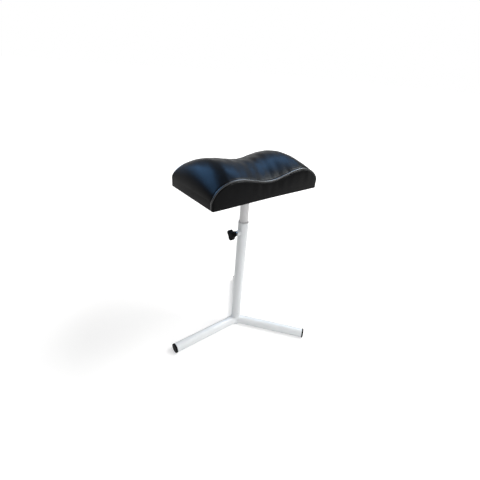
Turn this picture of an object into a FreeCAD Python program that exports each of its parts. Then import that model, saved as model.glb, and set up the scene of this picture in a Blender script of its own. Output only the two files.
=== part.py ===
"""Saddle cushion leg rest: tripod tube stand, telescopic column with a clamp knob, upholstered cushion.

Millimetres. The origin is on the floor in the middle of the post's foot, +Z is up, the cushion's long
axis is X, and the lone front leg points along -X, as does the clamp screw.
"""
import FreeCAD, Part
import math
import os

from FreeCAD import Vector

os.makedirs("parts", exist_ok=True)

# Stand
post_od = 30.0
post_wall = 1.5
post_height = 392.0         # floor to the top of the guide bush
leg_od = 30.0
leg_wall = 1.5
leg_reach = 235.0           # post axis to the outer face of a leg's end plug
leg_spread = 128.5          # degrees from the front leg to each of the other two

# Plastic plugs in the tube ends
plug_head = 5.0
plug_head_round = 1.2
plug_shank = 18.0
plug_core_gap = 1.2         # radial, shank core to tube bore
plug_fin_gap = 0.05         # radial, fin to tube bore
plug_fins = 3
plug_fin_thickness = 2.0
post_plug_depth = 12.0

# Sliding fit of the column in the post
bush_wall = 0.92
bush_flange = 2.0
bush_to_clamp = 1.5         # end of the bush to the clamp hole
slide_clearance = 0.08      # radial, each running fit of the column
inner_wall = 1.5
inner_length = 354.0
column_raise = 102.0        # top of the guide bush to the mounting plate, at the stored height
glide_length = 15.0
glide_plug_collar = 4.0
glide_plug_gap = 0.4        # radial, plug collar to post bore

# Mounting plate and its screws
plate_size = 120.0
plate_corner = 10.0
plate_thickness = 3.0
plate_weld_leg = 4.0
plate_hole_pitch = 90.0
screw_d = 6.0
screw_hole_gap = 0.3        # radial, in plate and dust cover
screw_head_flats = 10.0
screw_head_height = 4.0
screw_short = 1.5           # screw's end to the top of the board
washer_d = 12.0
washer_thickness = 1.6
tee_nut_wall = 1.0
tee_nut_barrel = 9.0
tee_nut_flange_d = 19.0
tee_nut_flange = 1.2
thread_clearance = 0.05     # radial, each threaded pair as plain cylinders

# Cushion
cushion_length = 348.0
cushion_width = 194.0
cushion_corner = 8.0        # corner radius in plan
cushion_waist = 2.0         # how far each long side is drawn in at the middle
board_thickness = 12.0
foam_crest = 69.0           # foam over the board at the humps
foam_valley = 58.0          # and in the middle
foam_end = 9.0              # and at the two ends
crest_to_end = 66.0         # hump's highest line to the cushion's end
end_bulge = 1.75            # exponent of the hump's outer slope, 2 is a quarter ellipse
edge_round = 22.0           # rounding of the long top edges, at the humps
crown = 16.0                # rise of the top across the cushion, at the humps
valley_crown = 8.0          # further rise across the cushion in the middle of the valley
cover_thickness = 1.2
cover_gap = 0.3             # cover to foam and board
hem_width = 28.0
dust_cover_thickness = 0.8
dust_cover_inset = 14.0     # edge of the dust cover to the cushion's side
loft_sections = 33

# Staples through dust cover and hem into the board
staple_crown = 10.0
staple_wire = 0.7
staple_leg = 6.0
staple_inset = 20.0         # staple line to the cushion's side
staples_along = 7
staples_across = 4

# Clamp
clamp_drop = 34.0           # top of the guide bush to the clamp screw's axis
clamp_screw_d = 8.0
clamp_hole_gap = 0.5        # radial, screw to the hole in the post
clamp_nut_flats = 14.0
clamp_nut_height = 8.0
pad_gap = 0.3               # pad to inner tube
pad_length = 3.2
pad_undersize = 0.4         # radial, pad to screw
pad_spigot_d = 3.0
pad_spigot = 4.0
knob_gap = 4.0              # nut to knob
knob_neck = 5.0
knob_neck_d = 16.0
knob_body = 15.0
knob_lobes = 3
knob_lobe_circle = 9.5      # knob axis to a lobe's centre
knob_lobe = 7.0             # lobe radius
knob_hollow = 20.0          # radius of the hollows between the lobes
knob_edge_round = 3.0
knob_wall = 4.0             # knob material beyond the screw's end

# Heights and radii that follow from the sizes above
up = Vector(0, 0, 1)
post_r = post_od / 2
post_bore = post_r - post_wall
leg_r = leg_od / 2
inner_r = post_bore - bush_wall - slide_clearance
inner_bore = inner_r - inner_wall
post_top = post_height - bush_flange
plate_bottom = post_height + column_raise
plate_top = plate_bottom + plate_thickness
inner_bottom = plate_bottom - inner_length
board_bottom = plate_top + dust_cover_thickness
board_top = board_bottom + board_thickness
hem_bottom = board_bottom - cover_thickness
dust_bottom = hem_bottom - dust_cover_thickness
screw_r = screw_d / 2
clamp_z = post_height - clamp_drop
clamp_r = clamp_screw_d / 2
clamp_hole = clamp_r + clamp_hole_gap


def cylinder_up(radius, bottom, top):
    """A solid cylinder on the Z axis between two heights."""
    return Part.makeCylinder(radius, top - bottom, Vector(0, 0, bottom), up)


def tube_up(outer, bore, bottom, top):
    """A tube on the Z axis between two heights."""
    return cylinder_up(outer, bottom, top).cut(cylinder_up(bore, bottom, top))


def box_between(length, width, bottom, top):
    """A box centred on the Z axis."""
    return Part.makeBox(length, width, top - bottom, Vector(-length / 2, -width / 2, bottom))


def rounded_box(length, width, radius, bottom, top):
    """A box centred on the Z axis with rounded upright corners."""
    box = box_between(length, width, bottom, top)
    upright = [edge for edge in box.Edges if abs(edge.tangentAt(edge.FirstParameter).z) > 0.5]
    return box.makeFillet(radius, upright)


def turned(shape, degrees):
    """A copy turned about the Z axis."""
    copy = shape.copy()
    copy.rotate(Vector(0, 0, 0), up, degrees)
    return copy


def along_clamp(shape):
    """A copy of a shape on the Z axis laid along the clamp screw: Z becomes the way out along -X."""
    copy = shape.copy()
    copy.rotate(Vector(0, 0, 0), Vector(0, 1, 0), -90)
    copy.translate(Vector(0, 0, clamp_z))
    return copy


def hexagon_up(flats, bottom, top):
    """A hexagonal prism on the Z axis."""
    radius = flats / math.sqrt(3)
    points = [
        Vector(radius * math.cos(math.radians(60 * k)), radius * math.sin(math.radians(60 * k)), bottom)
        for k in range(7)
    ]
    return Part.Face(Part.makePolygon(points)).extrude(Vector(0, 0, top - bottom))


def joined(shapes):
    """One solid from touching or overlapping shapes."""
    return shapes[0].fuse(shapes[1:]).removeSplitter()


def save(name, shape):
    """Writes one piece, or one group of like pieces, under its name."""
    shape.exportStep("parts/%s.step" % name)


# Stand

leg_angles = {"front_leg": 180.0, "left_leg": 180.0 - leg_spread, "right_leg": 180.0 + leg_spread}


def leg_sector(angle):
    """The slice of plan, as a tall prism, that one leg keeps: up to half way to each neighbour."""
    others = sorted((other - angle) % 360 for other in leg_angles.values() if other != angle)
    far = 8 * leg_reach  # the far side of the slice stays beyond the leg's end
    first = math.radians(angle + others[0] / 2)
    last = math.radians(angle + (others[1] + 360) / 2)
    points = [
        Vector(0, 0, 0),
        Vector(far * math.cos(last), far * math.sin(last), 0),
        Vector(far * math.cos(first), far * math.sin(first), 0),
        Vector(0, 0, 0),
    ]
    return Part.Face(Part.makePolygon(points)).extrude(Vector(0, 0, leg_od))


def leg_tube(angle):
    """A leg lying on the floor, coped to the post and mitred against the other legs."""
    length = leg_reach - plug_head
    start = Vector(0, 0, leg_r)
    outside = Part.makeCylinder(leg_r, length, start, Vector(1, 0, 0))
    bore = Part.makeCylinder(leg_r - leg_wall, length, start, Vector(1, 0, 0))
    tube = turned(outside.cut(bore), angle)
    return tube.common(leg_sector(angle)).cut(cylinder_up(post_r, 0, leg_od))


def tube_plug(bore, head_radius, head, shank):
    """A ribbed plug on the Z axis: head above z = 0, shank with fins below it."""
    pieces = [cylinder_up(bore - plug_core_gap, -shank, 0)]
    pitch = shank / plug_fins
    for k in range(plug_fins):
        middle = -pitch * (k + 0.5)
        half = plug_fin_thickness / 2
        pieces.append(cylinder_up(bore - plug_fin_gap, middle - half, middle + half))
    cap = cylinder_up(head_radius, 0, head)
    rim = [edge for edge in cap.Edges if edge.BoundBox.ZMin > head / 2]
    pieces.append(cap.makeFillet(min(plug_head_round, 0.9 * head), rim))
    return joined(pieces)


def leg_plug(angle):
    """The end plug of one leg."""
    plug = tube_plug(leg_r - leg_wall, leg_r, plug_head, plug_shank)
    plug.rotate(Vector(0, 0, 0), Vector(0, 1, 0), 90)
    plug.translate(Vector(leg_reach - plug_head, 0, leg_r))
    return turned(plug, angle)


for leg, leg_angle in leg_angles.items():
    save(leg + "_tube", leg_tube(leg_angle))
    save(leg + "_plug", leg_plug(leg_angle))

clamp_way = along_clamp(cylinder_up(clamp_hole, 0, post_od))
save("post_tube", tube_up(post_r, post_bore, 0, post_top).cut(clamp_way))
save("post_bottom_plug", cylinder_up(post_bore - plug_fin_gap, 0, post_plug_depth))

bush_bottom = clamp_z + clamp_hole + bush_to_clamp
bush = joined([
    cylinder_up(post_bore - plug_fin_gap, bush_bottom, post_top),
    cylinder_up(post_r, post_top, post_height),
])
save("guide_bush", bush.cut(cylinder_up(inner_r + slide_clearance, bush_bottom, post_height)))

# Column

save("inner_tube", tube_up(inner_r, inner_bore, inner_bottom, plate_bottom))

end_plug = joined([
    cylinder_up(post_bore - glide_plug_gap, inner_bottom - glide_plug_collar, inner_bottom),
    cylinder_up(inner_bore - plug_fin_gap, inner_bottom, inner_bottom + plug_shank),
])
save("inner_tube_plug", end_plug)
save(
    "lower_glide",
    tube_up(
        post_bore - slide_clearance,
        inner_r + slide_clearance,
        inner_bottom,
        inner_bottom + glide_length,
    ),
)

weld_outline = Part.makePolygon([
    Vector(inner_r, 0, plate_bottom - plate_weld_leg),
    Vector(inner_r + plate_weld_leg, 0, plate_bottom),
    Vector(inner_r, 0, plate_bottom),
    Vector(inner_r, 0, plate_bottom - plate_weld_leg),
])
save("plate_weld", Part.Face(weld_outline).revolve(Vector(0, 0, 0), up, 360))

half_pitch = plate_hole_pitch / 2
screw_places = [Vector(x, y, 0) for x in (-half_pitch, half_pitch) for y in (-half_pitch, half_pitch)]


def at_screws(shape):
    """Four copies of a shape on the Z axis, one at each plate screw."""
    return Part.makeCompound([shape.translated(place) for place in screw_places])


def drilled(shape, radius):
    """The shape with a through hole at each plate screw."""
    return shape.cut(at_screws(cylinder_up(radius, plate_bottom, board_top)))


plate = rounded_box(plate_size, plate_size, plate_corner, plate_bottom, plate_top)
save("mount_plate", drilled(plate, screw_r + screw_hole_gap))

washer_bottom = plate_bottom - washer_thickness
washer = tube_up(washer_d / 2, screw_r + screw_hole_gap, washer_bottom, plate_bottom)
save("plate_washers", at_screws(washer))

screw = joined([
    hexagon_up(screw_head_flats, washer_bottom - screw_head_height, washer_bottom),
    cylinder_up(screw_r, washer_bottom, board_top - screw_short),
])
save("plate_screws", at_screws(screw))

tee_nut_bore = screw_r + thread_clearance
tee_nut_r = tee_nut_bore + tee_nut_wall
tee_nut = joined([
    cylinder_up(tee_nut_r, board_top - tee_nut_barrel, board_top),
    cylinder_up(tee_nut_flange_d / 2, board_top, board_top + tee_nut_flange),
])
tee_nut = tee_nut.cut(cylinder_up(tee_nut_bore, board_top - tee_nut_barrel, board_top + tee_nut_flange))
save("tee_nuts", at_screws(tee_nut))

# Cushion


crest_x = cushion_length / 2 - crest_to_end


def valley_share(x):
    """One in the middle of the valley, falling along a cosine to nothing at the humps' highest lines."""
    return (1 + math.cos(math.pi * min(abs(x), crest_x) / crest_x)) / 2


def foam_height(x):
    """Foam over the board along the long axis: a cosine valley between two humps that fall to the ends."""
    if abs(x) <= crest_x:
        return foam_crest - (foam_crest - foam_valley) * valley_share(x)
    out = min(1.0, (abs(x) - crest_x) / crest_to_end)
    return foam_end + (foam_crest - foam_end) * (1 - out ** end_bulge) ** (1 / end_bulge)


def half_width(x):
    """Half the cushion's width in plan: rounded corners, long sides drawn in at the middle."""
    past = max(0.0, abs(x) - (cushion_length / 2 - cushion_corner))
    corner = cushion_corner - math.sqrt(max(0.0, cushion_corner ** 2 - past ** 2))
    waist = cushion_waist * math.cos(math.pi * x / cushion_length) ** 2
    return cushion_width / 2 - corner - waist


def cushion_section(x, bottom, inset):
    """One cross section, inset from the cover's outside: upright sides, rounded edges and a crowned top.

    The edge arcs and the crown arc share a tangent. Rounding and crown fade with the foam's height.
    """
    foam = foam_height(x)
    fade = foam / foam_crest
    half = half_width(x) - inset
    radius = edge_round * fade - inset
    top = board_top + foam + cover_gap + cover_thickness - inset
    reach = half - radius
    bow = crown * fade + valley_crown * valley_share(x)
    lean = 2 * math.atan(bow / reach)
    shoulder = top - radius - bow
    place = x * (1 - 2 * inset / cushion_length)

    def on_edge(side, angle):
        across = reach + radius * math.cos(angle)
        return Vector(place, side * across, shoulder + radius * math.sin(angle))

    end = math.pi / 2 - lean
    left_foot = Vector(place, -half, bottom)
    right_foot = Vector(place, half, bottom)
    edges = [
        Part.LineSegment(left_foot, right_foot),
        Part.LineSegment(right_foot, on_edge(1, 0)),
        Part.Arc(on_edge(1, 0), on_edge(1, end / 2), on_edge(1, end)),
        Part.Arc(on_edge(1, end), Vector(place, 0, top), on_edge(-1, end)),
        Part.Arc(on_edge(-1, end), on_edge(-1, end / 2), on_edge(-1, 0)),
        Part.LineSegment(on_edge(-1, 0), left_foot),
    ]
    return Part.Wire([edge.toShape() for edge in edges])


def cushion_form(bottom, inset):
    """The saddle form as a loft, with its sections closer together towards the two ends."""
    sections = []
    for k in range(loft_sections):
        turn = math.pi * (k / (loft_sections - 1) - 0.5)
        sections.append(cushion_section(cushion_length / 2 * math.sin(turn), bottom, inset))
    return Part.makeLoft(sections, True, False)


board_inset = cover_thickness + cover_gap
board = rounded_box(
    cushion_length - 2 * board_inset,
    cushion_width - 2 * (board_inset + cushion_waist),
    cushion_corner,
    board_bottom,
    board_top,
)
board = drilled(board, tee_nut_r + screw_hole_gap)

hem_opening = box_between(
    cushion_length - 2 * hem_width,
    cushion_width - 2 * hem_width,
    hem_bottom,
    board_bottom,
)
cover = cushion_form(hem_bottom, 0.0).cut(cushion_form(board_bottom, cover_thickness)).cut(hem_opening)

foam_core = cushion_form(board_top, board_inset)
tee_nut_pocket = cylinder_up(tee_nut_flange_d / 2 + cover_gap, board_top, board_top + tee_nut_flange)
foam_core = foam_core.cut(at_screws(tee_nut_pocket))
save("foam_core", foam_core)

# The dust cover is one sheet: a border on the hem, and a middle that is drawn up against the board.
hem_inner_length = cushion_length - 2 * (hem_width + cover_gap)
hem_inner_width = cushion_width - 2 * (hem_width + cover_gap)
dust_cover = joined([
    box_between(
        cushion_length - 2 * dust_cover_inset,
        cushion_width - 2 * dust_cover_inset,
        dust_bottom,
        hem_bottom,
    ),
    box_between(hem_inner_length, hem_inner_width, dust_bottom, board_bottom),
])
dust_recess = box_between(
    hem_inner_length - 2 * dust_cover_thickness,
    hem_inner_width - 2 * dust_cover_thickness,
    dust_bottom,
    board_bottom - dust_cover_thickness,
)
dust_cover = drilled(dust_cover.cut(dust_recess), screw_r + screw_hole_gap)


def staple(x, y, along_x):
    """One staple at a point of the staple line: crown under the dust cover, two legs up into the board."""
    half = staple_crown / 2
    crown_bar = Part.makeBox(
        staple_crown, staple_wire, staple_wire, Vector(-half, -staple_wire / 2, dust_bottom - staple_wire)
    )
    pieces = [crown_bar]
    for start in (-half, half - staple_wire):
        pieces.append(
            Part.makeBox(staple_wire, staple_wire, staple_leg, Vector(start, -staple_wire / 2, dust_bottom))
        )
    shape = joined(pieces)
    if not along_x:
        shape = turned(shape, 90)
    return shape.translated(Vector(x, y, 0))


staple_x = cushion_length / 2 - staple_inset
staple_y = cushion_width / 2 - staple_inset
staple_list = []
for k in range(staples_along):
    x = staple_x * (2 * (k + 0.5) / staples_along - 1)
    staple_list.append(staple(x, -staple_y, True))
    staple_list.append(staple(x, staple_y, True))
for k in range(staples_across):
    y = staple_y * (2 * (k + 0.5) / staples_across - 1)
    staple_list.append(staple(-staple_x, y, False))
    staple_list.append(staple(staple_x, y, False))
staples = Part.makeCompound(staple_list)
save("staples", staples)
save("seat_board", board.cut(staples))
save("vinyl_cover", cover.cut(staples))
save("dust_cover", dust_cover.cut(staples))

# Clamp, drawn upright from the post's axis outwards and then laid along the screw

nut_end = post_r + clamp_nut_height
clamp_bore = clamp_r + thread_clearance
nut = along_clamp(hexagon_up(clamp_nut_flats, 0, nut_end).cut(cylinder_up(clamp_bore, 0, nut_end)))
save("clamp_nut", nut.cut(cylinder_up(post_r, 0, post_top)))

pad_start = inner_r + pad_gap
screw_start = pad_start + pad_length
spigot_end = screw_start + pad_spigot
pad = joined([
    cylinder_up(clamp_r - pad_undersize, pad_start, screw_start),
    cylinder_up(pad_spigot_d / 2, screw_start, spigot_end),
])
save("clamp_pad", along_clamp(pad))

knob_start = nut_end + knob_gap
body_start = knob_start + knob_neck
knob_end = body_start + knob_body
screw_end = knob_end - knob_wall
socket = cylinder_up(pad_spigot_d / 2 + thread_clearance, screw_start, spigot_end + thread_clearance)
save("clamp_screw", along_clamp(cylinder_up(clamp_r, screw_start, screw_end).cut(socket)))


def knob_outline(height):
    """Lobes joined by hollows, all arcs that share tangents. One lobe points down once it is laid."""
    spread = knob_hollow + knob_lobe
    step = 360 / knob_lobes
    side = knob_lobe_circle * math.cos(math.radians(step / 2))
    hollow_circle = side + math.sqrt(side ** 2 + spread ** 2 - knob_lobe_circle ** 2)

    def polar(radius, degrees):
        turn = math.radians(degrees)
        return Vector(radius * math.cos(turn), radius * math.sin(turn), height)

    edges = []
    for k in range(knob_lobes):
        middle = 180 + step * k
        lobe = polar(knob_lobe_circle, middle)
        before = polar(hollow_circle, middle - step / 2)
        after = polar(hollow_circle, middle + step / 2)
        next_lobe = polar(knob_lobe_circle, middle + step)
        start = lobe + (before - lobe) * (knob_lobe / spread)
        stop = lobe + (after - lobe) * (knob_lobe / spread)
        following = next_lobe + (after - next_lobe) * (knob_lobe / spread)
        tip = polar(knob_lobe_circle + knob_lobe, middle)
        bottom = polar(hollow_circle - knob_hollow, middle + step / 2)
        edges.append(Part.Arc(start, tip, stop).toShape())
        edges.append(Part.Arc(stop, bottom, following).toShape())
    return Part.Wire(edges)


grip = Part.Face(knob_outline(body_start)).extrude(Vector(0, 0, knob_body))
rims = [edge for edge in grip.Edges if edge.BoundBox.ZLength < 0.01]
grip = grip.makeFillet(min(knob_edge_round, 0.45 * knob_body), rims)
neck = cylinder_up(knob_neck_d / 2, knob_start, body_start + knob_body / 2)
knob = joined([grip, neck]).cut(cylinder_up(clamp_r, knob_start, screw_end))
save("knob_body", along_clamp(knob))
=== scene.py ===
"""Looks of a saddle cushion leg rest: upholstery, finishes, weld beads and a plain studio stage.

Metres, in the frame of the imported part: the floor is z = 0, the post stands on the Z axis, the cushion's
long axis is X and the lone front leg points along -X, as does the clamp screw.
"""

import math

import bmesh
import bpy
import numpy as np
from bpy.props import FloatProperty, FloatVectorProperty, PointerProperty
from mathutils import Matrix, Vector


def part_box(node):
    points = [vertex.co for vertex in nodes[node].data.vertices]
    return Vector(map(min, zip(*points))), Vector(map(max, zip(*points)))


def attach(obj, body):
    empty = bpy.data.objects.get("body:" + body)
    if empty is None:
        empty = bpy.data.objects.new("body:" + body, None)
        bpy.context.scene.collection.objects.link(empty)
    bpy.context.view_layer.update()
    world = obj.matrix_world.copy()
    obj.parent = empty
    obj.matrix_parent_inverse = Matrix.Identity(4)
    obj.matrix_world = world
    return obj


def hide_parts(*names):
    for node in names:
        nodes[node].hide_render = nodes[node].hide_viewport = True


bl_info = {
    "name": "Saddle leg rest",
    "version": (1, 0, 0),
    "blender": (4, 5, 0),
    "location": "3D View > Sidebar > Leg rest",
    "description": "Upholstery, finishes, weld beads and stage of a saddle cushion leg rest",
    "category": "Object",
}

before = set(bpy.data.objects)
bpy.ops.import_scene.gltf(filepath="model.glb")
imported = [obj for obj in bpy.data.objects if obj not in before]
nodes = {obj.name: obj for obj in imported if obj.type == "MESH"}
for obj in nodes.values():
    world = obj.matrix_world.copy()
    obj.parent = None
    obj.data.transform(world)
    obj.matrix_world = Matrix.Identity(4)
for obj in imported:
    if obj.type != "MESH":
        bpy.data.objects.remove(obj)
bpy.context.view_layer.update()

# Places and sizes read from the frame
cover_low, cover_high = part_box("vinyl_cover")
board_low, board_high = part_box("seat_board")
dust_low, dust_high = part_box("dust_cover")
leg_low, leg_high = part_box("front_leg_tube")
plate_low, plate_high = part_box("mount_plate")
nut_low, nut_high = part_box("clamp_nut")
rod_low, rod_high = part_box("clamp_screw")

half_length = cover_high.x
half_width = cover_high.y
hem_bottom = cover_low.z
board_top = board_high.z
crest_rise = cover_high.z - board_top
post_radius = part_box("post_tube")[1].y
leg_radius = (leg_high.z - leg_low.z) / 2
inner_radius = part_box("inner_tube")[1].y
clamp_height = (rod_low.z + rod_high.z) / 2
rod_radius = (rod_high.z - rod_low.z) / 2
spigot_end = -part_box("clamp_pad")[0].x

# Seeds of the random draws
FOLD_SEED = 23
PUCKER_SEED = 11
CREASE_SEED = 5

CLOTH_THICKNESS = 0.0006
MERGE_DISTANCE = 1e-6
LEAST_LENGTH = 1e-12


class CushionSettings(bpy.types.PropertyGroup):
    """Shape and finish of the upholstered saddle."""

    valley_drop: FloatProperty(
        name="Valley drop", description="Humps' tops to the valley's middle", default=0.011, unit="LENGTH"
    )
    end_drop: FloatProperty(
        name="End drop", description="Humps' tops to the top of the ends", default=0.060, unit="LENGTH"
    )
    crest_to_end: FloatProperty(
        name="Crest to end", description="A hump's highest line to the cushion's end", default=0.066,
        unit="LENGTH",
    )
    end_bulge: FloatProperty(
        name="End bulge", description="Exponent of a hump's outer slope; 2 is an ellipse", default=1.75
    )
    edge_round: FloatProperty(
        name="Edge round", description="Rounding of the long top edges at the humps", default=0.022,
        unit="LENGTH",
    )
    crown: FloatProperty(
        name="Crown", description="Crosswise rise of the top at the humps", default=0.016, unit="LENGTH"
    )
    valley_crown: FloatProperty(
        name="Valley crown", description="Further rise across the cushion in the middle of the valley",
        default=0.008, unit="LENGTH",
    )
    corner: FloatProperty(name="Corner", description="Corner radius in plan", default=0.005, unit="LENGTH")
    waist: FloatProperty(
        name="Waist", description="How far each long side is drawn in at the middle", default=0.002,
        unit="LENGTH",
    )
    fold_round: FloatProperty(
        name="Fold round", description="Radius of the vinyl's turn to the hem", default=0.002, unit="LENGTH"
    )
    hem_width: FloatProperty(
        name="Hem width", description="Width of the vinyl under the board", default=0.028, unit="LENGTH"
    )
    start_inset: FloatProperty(
        name="Start inset", description="How much smaller the form is before it swells", default=0.0005,
        unit="LENGTH",
    )
    swell_limit: FloatProperty(
        name="Swell limit", description="Furthest that a point of the vinyl may move", default=0.005,
        unit="LENGTH",
    )
    pressure: FloatProperty(name="Pressure", description="Pressure of the foam on the vinyl", default=4.0)
    seam_angle: FloatProperty(
        name="Seam angle", description="Where the seam lies on the rounded edge, from the side up",
        default=math.radians(45), subtype="ANGLE",
    )
    seam_depth: FloatProperty(
        name="Seam depth", description="How far the seam draws the vinyl in", default=0.0014, unit="LENGTH"
    )
    seam_reach: FloatProperty(
        name="Seam reach", description="How far beside the seam the vinyl is drawn in", default=0.003,
        unit="LENGTH",
    )
    pucker_height: FloatProperty(
        name="Pucker height", description="Height of puckers by the seam", default=0.00035, unit="LENGTH"
    )
    pucker_pitch: FloatProperty(
        name="Pucker pitch", description="Length of one pucker along the seam", default=0.014, unit="LENGTH"
    )
    fold_height: FloatProperty(
        name="Fold height", description="Height of the vinyl's soft folds", default=0.00035, unit="LENGTH"
    )
    fold_pitch: FloatProperty(
        name="Fold pitch", description="From one soft fold to the next", default=0.034, unit="LENGTH"
    )
    piping_diameter: FloatProperty(
        name="Piping diameter", description="Diameter of the covered cord in the seam", default=0.0052,
        unit="LENGTH",
    )
    vinyl_colour: FloatVectorProperty(
        name="Vinyl colour", description="Colour of the vinyl", default=(0.0022, 0.0023, 0.0026),
        subtype="COLOR",
    )
    vinyl_gloss: FloatProperty(name="Vinyl gloss", description="Specular level of the vinyl", default=0.05)
    piping_gloss: FloatProperty(name="Piping gloss", description="Specular level of piping", default=0.45)
    cloth_slack: FloatProperty(
        name="Dust cloth slack", description="How far the dust cloth hangs between plate and hem",
        default=0.0012, unit="LENGTH",
    )
    cloth_colour: FloatVectorProperty(
        name="Dust cloth colour", description="Colour of the dust cloth", default=(0.016, 0.016, 0.017),
        subtype="COLOR",
    )


class StandSettings(bpy.types.PropertyGroup):
    """Weld beads and finishes of stand, column and clamp."""

    leg_spread: FloatProperty(
        name="Leg spread", description="Front leg to each of the other two", default=math.radians(128.5),
        subtype="ANGLE",
    )
    bead_radius: FloatProperty(
        name="Bead radius", description="Radius of the stand's weld beads", default=0.0021, unit="LENGTH"
    )
    bead_ripple: FloatProperty(
        name="Bead ripple", description="Length of one ripple of a weld bead", default=0.0026, unit="LENGTH"
    )
    thread_pitch: FloatProperty(
        name="Thread pitch", description="Pitch of the clamp screw", default=0.00125, unit="LENGTH"
    )
    thread_depth: FloatProperty(
        name="Thread depth", description="Depth of the clamp screw's thread", default=0.00077, unit="LENGTH"
    )
    powder_colour: FloatVectorProperty(
        name="Powder coat colour", description="Colour of the stand", default=(0.80, 0.825, 0.84),
        subtype="COLOR",
    )
    plating_colour: FloatVectorProperty(
        name="Plating colour", description="Colour of the plated inner tube", default=(0.56, 0.555, 0.56),
        subtype="COLOR",
    )
    guide_colour: FloatVectorProperty(
        name="Guide colour", description="Colour of the guide bush and the glide ring",
        default=(0.6, 0.6, 0.61), subtype="COLOR",
    )
    plastic_colour: FloatVectorProperty(
        name="Plastic colour", description="Colour of the knob and the tube plugs",
        default=(0.003, 0.003, 0.0033), subtype="COLOR",
    )


class StageSettings(bpy.types.PropertyGroup):
    """Camera, lights and floor."""

    frame_pixels: FloatProperty(name="Frame", description="Width of the square picture", default=480.0)
    focal_pixels: FloatProperty(name="Focal length", description="In pixels of the picture", default=304.92)
    distance: FloatProperty(
        name="Camera distance", description="Along the floor from the post", default=0.7940, unit="LENGTH"
    )
    height: FloatProperty(name="Camera height", description="Over the floor", default=0.7784, unit="LENGTH")
    azimuth: FloatProperty(
        name="Camera azimuth", description="Front leg to the camera, round the post",
        default=math.radians(49.292), subtype="ANGLE",
    )
    pitch: FloatProperty(
        name="Pitch", description="Downward tilt", default=math.radians(29.521), subtype="ANGLE"
    )
    yaw: FloatProperty(
        name="Yaw", description="Turn away from the post", default=math.radians(-0.404), subtype="ANGLE"
    )
    roll: FloatProperty(
        name="Roll", description="Picture's clockwise turn", default=math.radians(4.638), subtype="ANGLE"
    )
    sensor: FloatProperty(name="Sensor", description="Sensor width in millimetres", default=36.0)
    ambient: FloatProperty(name="Ambient", description="Light from the surroundings", default=0.44)
    key_power: FloatProperty(name="Key light", description="The lamp's power", default=34.0, unit="POWER")
    fill_power: FloatProperty(name="Fill light", description="The lamp's power", default=10.0, unit="POWER")
    sky_power: FloatProperty(name="Window light", description="Power of a square metre", default=42.0)
    sky_colour: FloatVectorProperty(
        name="Window colour", description="Colour of the windows", default=(0.2, 0.5, 1.0), subtype="COLOR"
    )
    pane_colour: FloatVectorProperty(
        name="Pane colour", description="Colour of the window that shows in the front edge",
        default=(0.85, 0.95, 1.0), subtype="COLOR",
    )
    floor_colour: FloatVectorProperty(
        name="Floor colour", description="Colour of the floor", default=(0.8, 0.8, 0.8), subtype="COLOR"
    )
    floor_lift: FloatProperty(
        name="Floor lift", description="How much white the floor adds to its lit colour", default=0.45
    )


class LegRestSettings(bpy.types.PropertyGroup):
    """All settings of the leg rest."""

    cushion: PointerProperty(type=CushionSettings)
    stand: PointerProperty(type=StandSettings)
    stage: PointerProperty(type=StageSettings)


# Meshes from grids of points


def grid_quads(rows, columns, closed_rows=False, closed_columns=False):
    """Corner numbers of a grid's quads; a closed direction joins its last line to its first."""
    row = np.arange(rows if closed_rows else rows - 1)
    column = np.arange(columns if closed_columns else columns - 1)
    row, column = np.meshgrid(row, column, indexing="ij")
    here = row * columns
    below = (row + 1) % rows * columns
    beside = (column + 1) % columns
    corners = (here + column, here + beside, below + beside, below + column)
    return np.stack(corners, axis=-1).reshape(-1, 4).tolist()


def closed_ends(points):
    """Faces of a grid whose columns go round, with a flat face over each end row."""
    rows, columns = points.shape[:2]
    first = list(range(columns))
    last = list(range((rows - 1) * columns, rows * columns))
    return [*grid_quads(rows, columns, closed_columns=True), first, last]


def outward_mesh(name, points, faces, merged=True):
    """A mesh from points and faces, its doubles merged if asked and then its faces turned outwards."""
    mesh = bpy.data.meshes.new(name)
    mesh.from_pydata(points.reshape(-1, 3).tolist(), [], faces)
    build = bmesh.new()
    build.from_mesh(mesh)
    if merged:
        bmesh.ops.remove_doubles(build, verts=build.verts, dist=MERGE_DISTANCE)
    bmesh.ops.recalc_face_normals(build, faces=build.faces)
    build.to_mesh(mesh)
    build.free()
    return mesh


def add_object(name, data):
    """A new object in the scene."""
    made = bpy.data.objects.new(name, data)
    bpy.context.scene.collection.objects.link(made)
    return made


def add_piece(name, points, faces, body, material):
    """A smooth piece from a grid of points and its faces, riding on a body."""
    mesh = outward_mesh(name, points, faces)
    mesh.shade_smooth()
    mesh.materials.append(material)
    piece = add_object(name, mesh)
    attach(piece, body)
    return piece


def unit(vectors):
    """The vectors at length one; a vector of no length stays as it is."""
    return vectors / np.maximum(np.linalg.norm(vectors, axis=-1, keepdims=True), LEAST_LENGTH)


def round_angles(count):
    """Angles evenly spread over a full turn."""
    return np.linspace(0, 2 * np.pi, count, endpoint=False)


def tube_points(path, radius, across, sides, closed):
    """A circle of the given radius carried along a path, starting from a direction across it.

    Each ring's centre is a path point; the ring lies in the plane of the crossing direction, made square to
    the path, and of the path's own sideways direction.
    """
    if closed:
        ahead = np.roll(path, -1, axis=0) - np.roll(path, 1, axis=0)
    else:
        ahead = np.gradient(path, axis=0)
    ahead = unit(ahead)
    across = unit(across - (across * ahead).sum(-1, keepdims=True) * ahead)
    sideways = np.cross(ahead, across)
    turn = round_angles(sides)[None, :, None]
    radius = np.broadcast_to(radius, len(path))[:, None, None]
    return path[:, None] + radius * (np.cos(turn) * across[:, None] + np.sin(turn) * sideways[:, None])


def eased(share):
    """A share held between 0 and 1, with a soft start and a soft end."""
    share = np.clip(share, 0.0, 1.0)
    return share ** 2 * (3 - 2 * share)


# Shader nodes


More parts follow.
